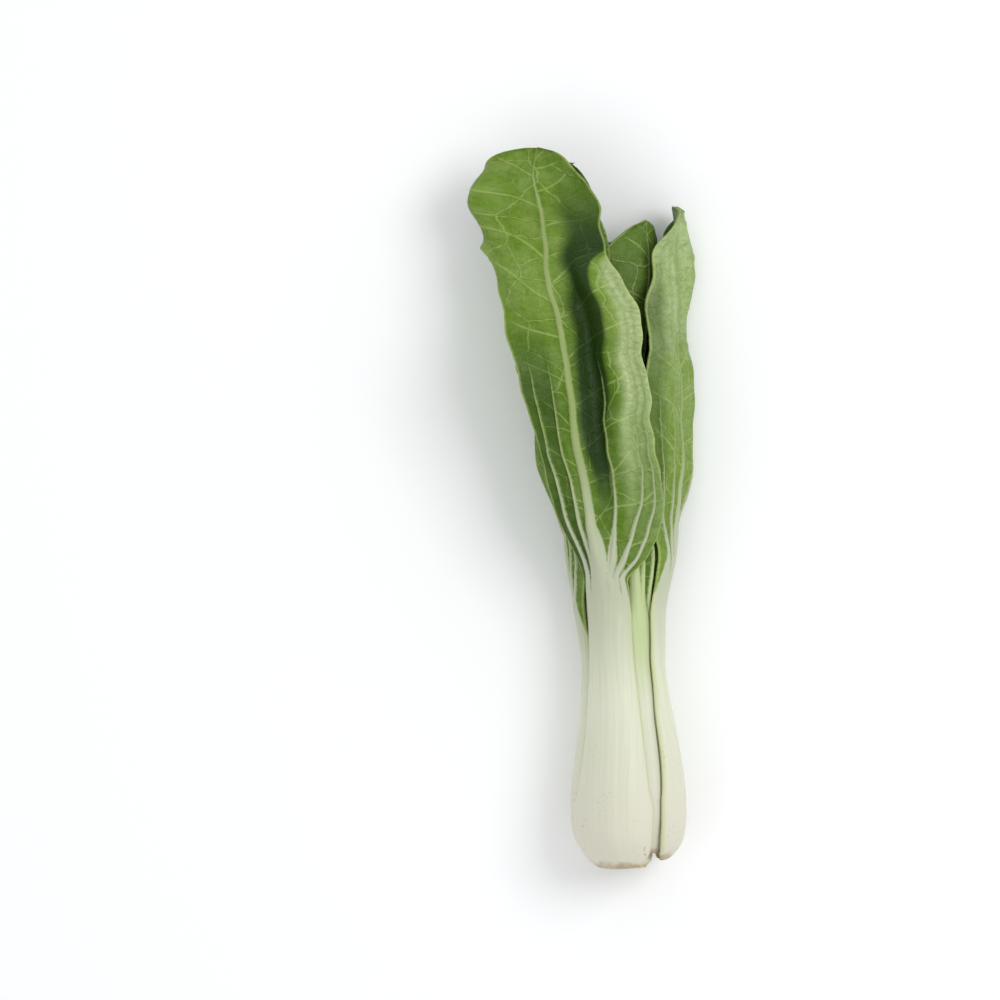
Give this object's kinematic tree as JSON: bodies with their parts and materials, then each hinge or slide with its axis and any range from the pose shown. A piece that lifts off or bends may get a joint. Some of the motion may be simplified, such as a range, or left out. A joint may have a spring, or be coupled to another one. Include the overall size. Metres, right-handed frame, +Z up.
{
  "type": "bok choy",
  "caption": "Whole head of white-stalked bok choy lying on its side, spoon-shaped stalks nested on a spiral and fanning out into the ribs of upright green blades.",
  "frame": {"origin": "middle of the bounding box's bottom face, on the surface that the head lies on", "axes": "+Y along the head from its cut end to its leaf tips, +Z up, +X to the right seen from above with the tips away from the viewer"},
  "size_m": [0.0906, 0.291, 0.0523],
  "materials": {
    "stalk": "pale greenish white, waxy and a little see-through, fine lengthwise grooves",
    "crown_cut": "cream stem tissue, browned where it was cut",
    "blade": "mid green, satin, net of fine veins",
    "heart_blade": "young yellow-green, satin"
  },
  "bodies": {
    "root": {"crown": "crown_cut", "leaf_01_stalk": "stalk", "leaf_01_blade": "blade", "leaf_02_stalk": "stalk", "leaf_02_blade": "blade", "leaf_03_stalk": "stalk", "leaf_03_blade": "blade", "leaf_04_stalk": "stalk", "leaf_04_blade": "blade", "leaf_05_stalk": "stalk", "leaf_05_blade": "blade", "leaf_06_stalk": "stalk", "leaf_06_blade": "blade", "leaf_07_stalk": "stalk", "leaf_07_blade": "blade", "leaf_08_stalk": "stalk", "leaf_08_blade": "blade", "leaf_09_stalk": "stalk", "leaf_09_blade": "heart_blade", "leaf_10_stalk": "stalk", "leaf_10_blade": "heart_blade", "leaf_11_stalk": "stalk", "leaf_11_blade": "heart_blade"}
  },
  "joints": []
}
